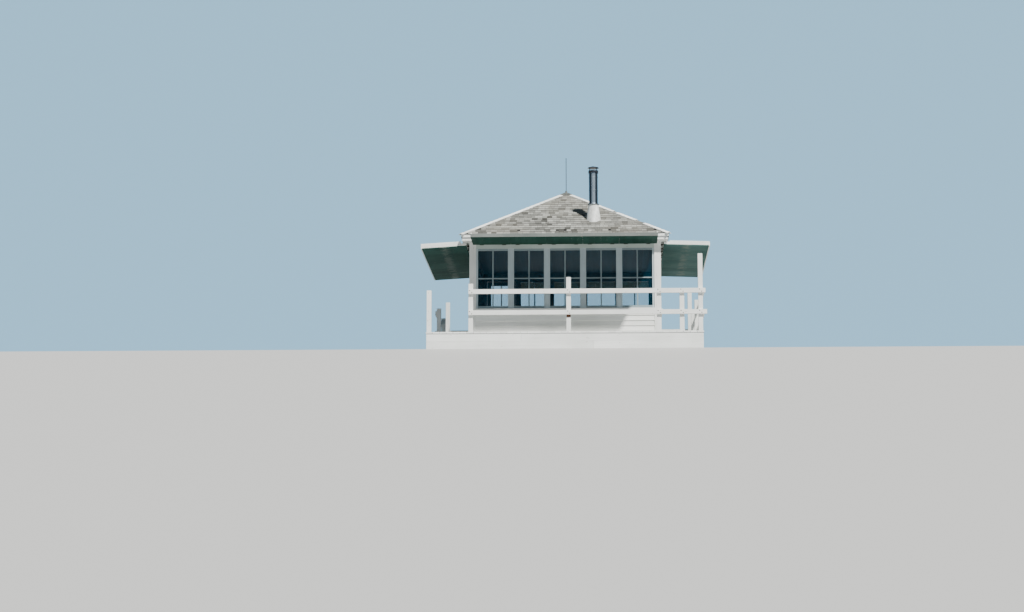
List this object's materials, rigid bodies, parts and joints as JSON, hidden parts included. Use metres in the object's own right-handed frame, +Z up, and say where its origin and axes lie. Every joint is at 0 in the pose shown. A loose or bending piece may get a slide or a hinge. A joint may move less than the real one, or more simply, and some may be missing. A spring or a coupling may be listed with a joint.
{
  "type": "fire lookout house",
  "caption": "Square timber lookout cab with windows all round, a shingled hip roof, top-hung shutters propped out level and a railed walkway on a low base.",
  "frame": {"origin": "on the ground under the middle of the cab", "axes": "+Z up, -Y out of the front wall, which the picture faces, +X to the right along it"},
  "size_m": [6.4681, 6.4669, 4.9336],
  "materials": {
    "white_painted_timber": "weathered white paint",
    "bare_timber": "bare sawn timber",
    "deck_boards": "weathered boards",
    "ceiling_boards": "painted boards",
    "wood_shingles": "weathered grey shingles",
    "green_painted_timber": "dark green paint",
    "window_glass": "clear",
    "dark_metal": "dull dark paint",
    "flue_metal": "galvanised",
    "white_painted_metal": "white paint"
  },
  "bodies": {
    "house": {"ground_beams": "bare_timber", "joists": "bare_timber", "skirt": "white_painted_timber", "walkway_deck": "deck_boards", "cab_floor": "deck_boards", "corner_posts": "white_painted_timber", "window_sills": "white_painted_timber", "window_posts": "white_painted_timber", "headers": "white_painted_timber", "door_frame": "white_painted_timber", "door": "white_painted_timber", "door_knob": "dark_metal", "ceiling": "ceiling_boards", "wall_plates": "bare_timber", "fascia": "white_painted_timber", "soffit": "white_painted_timber", "hip_caps": "white_painted_timber", "roof_cap": "dark_metal", "roof_rod": "dark_metal", "flue_pipe": "flue_metal", "flue_flashing": "white_painted_metal", "flue_cowl": "flue_metal", "railing_posts": "white_painted_timber", "top_rails": "white_painted_timber", "mid_rails": "white_painted_timber", "window_stiles": "white_painted_timber", "window_rails": "white_painted_timber", "window_glass": "window_glass", "shutter_hinges": "dark_metal", "front_wall": "white_painted_timber", "front_roof": "wood_shingles", "right_wall": "white_painted_timber", "right_roof": "wood_shingles", "rear_wall": "white_painted_timber", "rear_roof": "wood_shingles", "left_wall": "white_painted_timber", "left_roof": "wood_shingles"},
    "front_shutter_row": {"front_shutters": "green_painted_timber"},
    "right_shutter_row": {"right_shutters": "green_painted_timber"},
    "rear_shutter_row": {"rear_shutters": "green_painted_timber"},
    "left_shutter_row": {"left_shutters": "green_painted_timber"}
  },
  "joints": [
    {"name": "front_shutter_hinge", "type": "hinge", "parent": "house", "child": "front_shutter_row", "pos_m": [0, -2.1835, 2.502], "axis": [1, 0, 0], "range_deg": [0, 88.8]},
    {"name": "right_shutter_hinge", "type": "hinge", "parent": "house", "child": "right_shutter_row", "pos_m": [2.1835, 0, 2.502], "axis": [0, 1, 0], "range_deg": [0, 88.2]},
    {"name": "rear_shutter_hinge", "type": "hinge", "parent": "house", "child": "rear_shutter_row", "pos_m": [0, 2.1835, 2.502], "axis": [-1, 0, 0], "range_deg": [0, 85]},
    {"name": "left_shutter_hinge", "type": "hinge", "parent": "house", "child": "left_shutter_row", "pos_m": [-2.1835, 0, 2.502], "axis": [0, -1, 0], "range_deg": [0, 86.6]}
  ]
}
